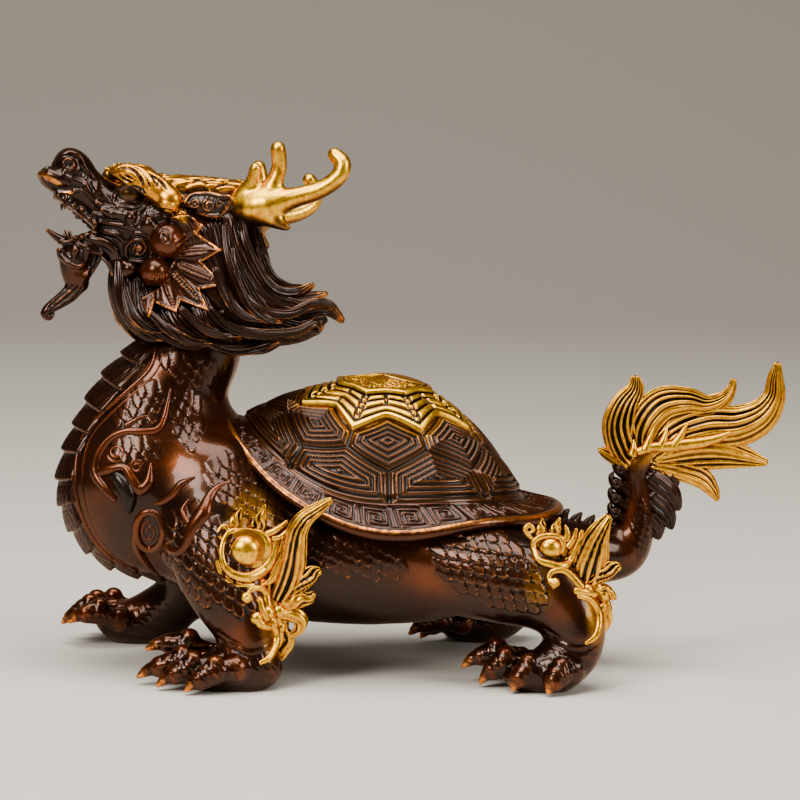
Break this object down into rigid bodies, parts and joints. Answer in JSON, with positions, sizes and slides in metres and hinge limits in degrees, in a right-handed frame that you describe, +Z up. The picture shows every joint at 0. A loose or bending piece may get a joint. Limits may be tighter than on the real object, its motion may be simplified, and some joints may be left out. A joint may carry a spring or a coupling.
{
  "type": "dragon turtle figure",
  "caption": "Cast metal dragon turtle table figure: maned, antlered dragon head on an arched neck, walking tortoise body under a hexagon-plated shell with a round emblem, raised flame tail.",
  "frame": {"origin": "centre of the bounding box at the height of the soles", "axes": "+Z up, head towards -X, tail towards +X, the side turned to the viewer towards -Y"},
  "size_m": [0.22, 0.099, 0.1549],
  "materials": {
    "patinated_bronze": "glossy dark brown patina over cast copper alloy, copper bright on worn edges, gilded antlers, brow, emblem, tufts, claws and tail flame"
  },
  "bodies": {
    "root": {"dragon_turtle": "patinated_bronze"}
  },
  "joints": []
}
